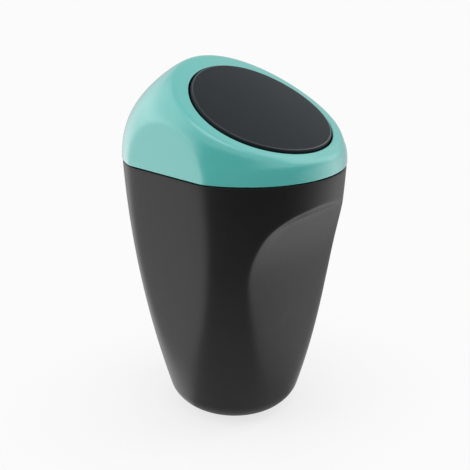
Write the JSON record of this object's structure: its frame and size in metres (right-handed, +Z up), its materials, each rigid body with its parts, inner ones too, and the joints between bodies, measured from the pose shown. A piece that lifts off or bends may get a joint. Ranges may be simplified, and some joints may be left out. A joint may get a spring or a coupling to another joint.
{
  "type": "car trash can",
  "caption": "Small tapered oval bin with flat sides and a hollow in its front, a lift-off dome lid with a slanted round opening, and a sprung push-in flap.",
  "frame": {"origin": "centre of the bin's box on the ground, under the four base pads", "axes": "+Z up, -Y towards the low front of the slanted opening, X across the two flat sides"},
  "size_m": [0.11, 0.1354, 0.2119],
  "materials": {
    "black_plastic": "moulded satin",
    "flap_plastic": "moulded satin",
    "teal_plastic": "smooth semi-gloss",
    "pad_rubber": "matt",
    "screw_steel": "zinc plated",
    "pin_steel": "ground",
    "spring_steel": "drawn wire"
  },
  "bodies": {
    "bucket_body": {"bucket": "black_plastic", "base_pad_1": "pad_rubber", "base_pad_2": "pad_rubber", "base_pad_3": "pad_rubber", "base_pad_4": "pad_rubber"},
    "lid_body": {"lid_shell": "teal_plastic", "hinge_frame": "black_plastic", "frame_screws": "screw_steel", "hinge_pin": "pin_steel", "spring_left": "spring_steel", "spring_right": "spring_steel"},
    "flap_body": {"flap_cover": "flap_plastic", "flap_carrier": "black_plastic", "flap_screws": "screw_steel"}
  },
  "joints": [
    {"name": "lid_lift", "type": "slide", "parent": "bucket_body", "child": "lid_body", "axis": [0, 0, 1], "range_m": [0, 0.08]},
    {"name": "flap_hinge", "type": "hinge", "parent": "lid_body", "child": "flap_body", "pos_m": [0, 0.02502, 0.19747], "axis": [1, 0, 0], "range_deg": [0, 70], "stiffness_Nm_per_rad": 0.1, "springref_deg": -17.19, "deforming": ["spring_left", "spring_right"]}
  ]
}
